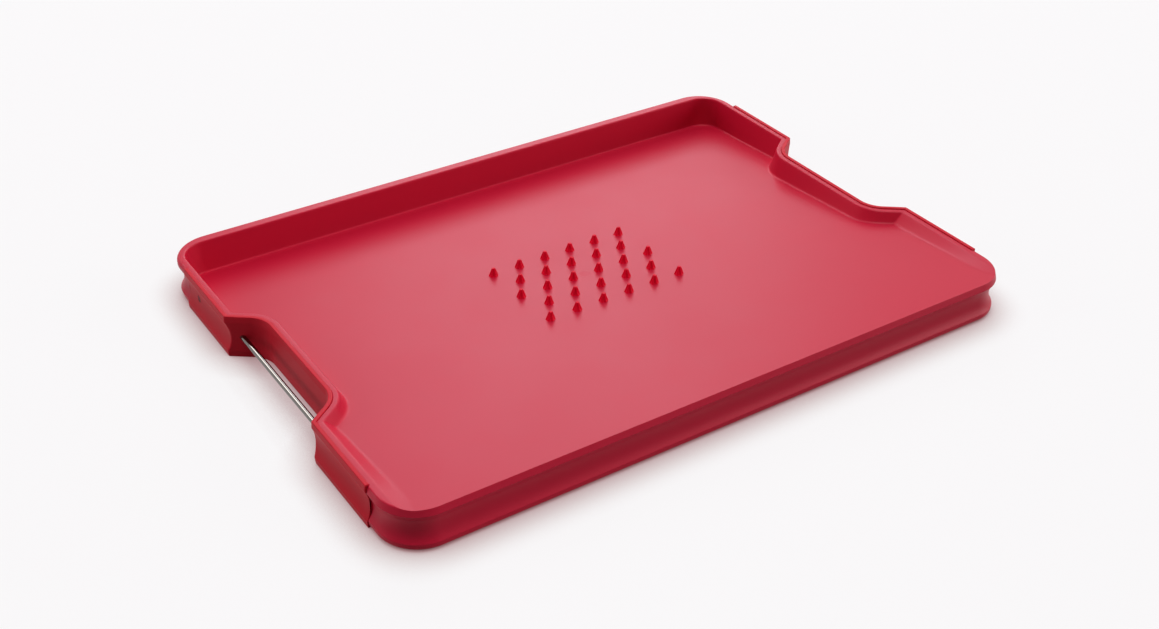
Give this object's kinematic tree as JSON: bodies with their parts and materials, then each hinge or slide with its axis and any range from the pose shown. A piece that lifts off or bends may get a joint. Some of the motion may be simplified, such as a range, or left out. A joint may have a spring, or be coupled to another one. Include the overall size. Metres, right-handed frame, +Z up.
{
  "type": "carving board",
  "caption": "Double-sided moulded carving board with a slanted plate in a deep rim, carving spikes in the middle, and hand notches at both ends with wrapped grips and steel rods.",
  "frame": {"origin": "centre of the board's footprint, on the surface that the two end grips stand on", "axes": "+X along the length of the board, from the left to the right end grip; +Y across it, towards the deep side of the upper tray; +Z up"},
  "size_m": [0.38, 0.274, 0.025],
  "materials": {
    "board_plastic": "satin deep red moulding",
    "grip_plastic": "matt red soft-touch strip",
    "rod_steel": "ground bright steel"
  },
  "bodies": {
    "root": {"board_body": "board_plastic", "left_end_grip": "grip_plastic", "right_end_grip": "grip_plastic", "left_handle_rod": "rod_steel", "right_handle_rod": "rod_steel"}
  },
  "joints": []
}
